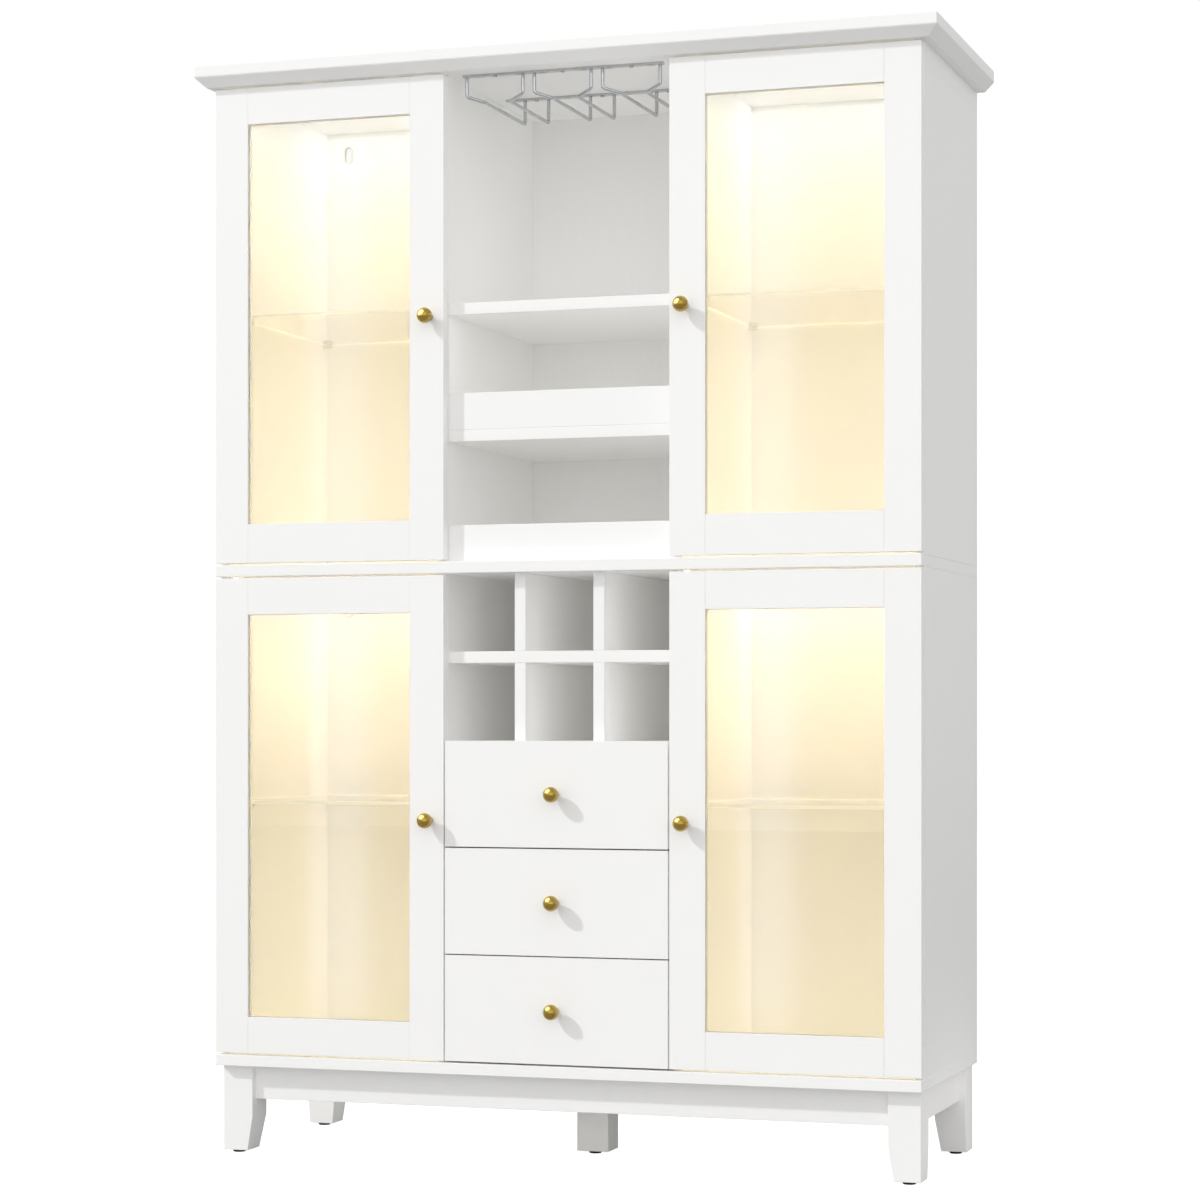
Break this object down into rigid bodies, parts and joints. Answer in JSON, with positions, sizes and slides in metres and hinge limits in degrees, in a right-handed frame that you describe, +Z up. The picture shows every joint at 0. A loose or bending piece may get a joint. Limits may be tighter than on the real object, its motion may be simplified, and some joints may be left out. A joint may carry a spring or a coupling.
{
  "type": "wine cabinet",
  "caption": "Tall white bar and wine cabinet with glazed lit doors either side of an open column with stemware rack, bottle shelves, wine cells and drawers.",
  "frame": {"origin": "centre of the overall box at floor level", "axes": "+Z up, the doors face -Y, +X to the right seen from the front"},
  "size_m": [1.191, 0.445, 1.716],
  "materials": {
    "white_board": "satin white lacquer on board",
    "back_board": "white faced thin board",
    "drawer_board": "white foil on board",
    "clear_glass": "clear float glass",
    "satin_brass": "satin",
    "nickel_plate": "nickel plated",
    "zinc_steel": "zinc plated",
    "chrome_wire": "polished",
    "black_plastic": "matt",
    "white_plastic": "matt",
    "led_aluminium": "anodised",
    "led_diffuser": "opal, lit warm white"
  },
  "bodies": {
    "carcass": {"base_aprons": "white_board", "base_panel": "white_board", "bottle_shelf": "white_board", "cable_grommets": "white_plastic", "centre_leg": "white_board", "corner_legs": "white_board", "crown_moulding": "white_board", "display_shelf": "white_board", "drawer_channels": "zinc_steel", "floor_glides": "black_plastic", "gallery_rails": "white_board", "glass_shelves": "clear_glass", "hinge_arms": "nickel_plate", "led_diffusers": "led_diffuser", "led_profiles": "led_aluminium", "lower_back_panel": "back_board", "lower_partitions": "white_board", "lower_side_left": "white_board", "lower_side_right": "white_board", "mid_panel": "white_board", "rack_screws": "chrome_wire", "shelf_pins": "nickel_plate", "stemware_rack": "chrome_wire", "top_cap": "white_board", "top_panel": "white_board", "upper_back_panel": "back_board", "upper_partitions": "white_board", "upper_side_left": "white_board", "upper_side_right": "white_board", "wine_rack_dividers": "white_board", "wine_rack_floor": "white_board", "wine_rack_shelf": "white_board"},
    "upper_left_door": {"upper_left_door_frame": "white_board", "upper_left_door_glass": "clear_glass", "upper_left_door_hinge_cups": "nickel_plate", "upper_left_door_knob": "satin_brass"},
    "upper_right_door": {"upper_right_door_frame": "white_board", "upper_right_door_glass": "clear_glass", "upper_right_door_hinge_cups": "nickel_plate", "upper_right_door_knob": "satin_brass"},
    "lower_left_door": {"lower_left_door_frame": "white_board", "lower_left_door_glass": "clear_glass", "lower_left_door_hinge_cups": "nickel_plate", "lower_left_door_knob": "satin_brass"},
    "lower_right_door": {"lower_right_door_frame": "white_board", "lower_right_door_glass": "clear_glass", "lower_right_door_hinge_cups": "nickel_plate", "lower_right_door_knob": "satin_brass"},
    "bottom_drawer": {"bottom_drawer_box": "drawer_board", "bottom_drawer_front": "white_board", "bottom_drawer_knob": "satin_brass", "bottom_drawer_runners": "zinc_steel"},
    "middle_drawer": {"middle_drawer_box": "drawer_board", "middle_drawer_front": "white_board", "middle_drawer_knob": "satin_brass", "middle_drawer_runners": "zinc_steel"},
    "top_drawer": {"top_drawer_box": "drawer_board", "top_drawer_front": "white_board", "top_drawer_knob": "satin_brass", "top_drawer_runners": "zinc_steel"}
  },
  "joints": [
    {"name": "upper_left_door_hinge", "type": "hinge", "parent": "carcass", "child": "upper_left_door", "pos_m": [-0.56, -0.1823, 1.306], "axis": [0, 0, -1], "range_deg": [0, 95]},
    {"name": "upper_right_door_hinge", "type": "hinge", "parent": "carcass", "child": "upper_right_door", "pos_m": [0.56, -0.1823, 1.306], "axis": [0, 0, 1], "range_deg": [0, 95]},
    {"name": "lower_left_door_hinge", "type": "hinge", "parent": "carcass", "child": "lower_left_door", "pos_m": [-0.56, -0.1823, 0.534], "axis": [0, 0, -1], "range_deg": [0, 95]},
    {"name": "lower_right_door_hinge", "type": "hinge", "parent": "carcass", "child": "lower_right_door", "pos_m": [0.56, -0.1823, 0.534], "axis": [0, 0, 1], "range_deg": [0, 95]},
    {"name": "bottom_drawer_slide", "type": "slide", "parent": "carcass", "child": "bottom_drawer", "axis": [0, -1, 0], "range_m": [0, 0.27]},
    {"name": "middle_drawer_slide", "type": "slide", "parent": "carcass", "child": "middle_drawer", "axis": [0, -1, 0], "range_m": [0, 0.27]},
    {"name": "top_drawer_slide", "type": "slide", "parent": "carcass", "child": "top_drawer", "axis": [0, -1, 0], "range_m": [0, 0.27]}
  ]
}
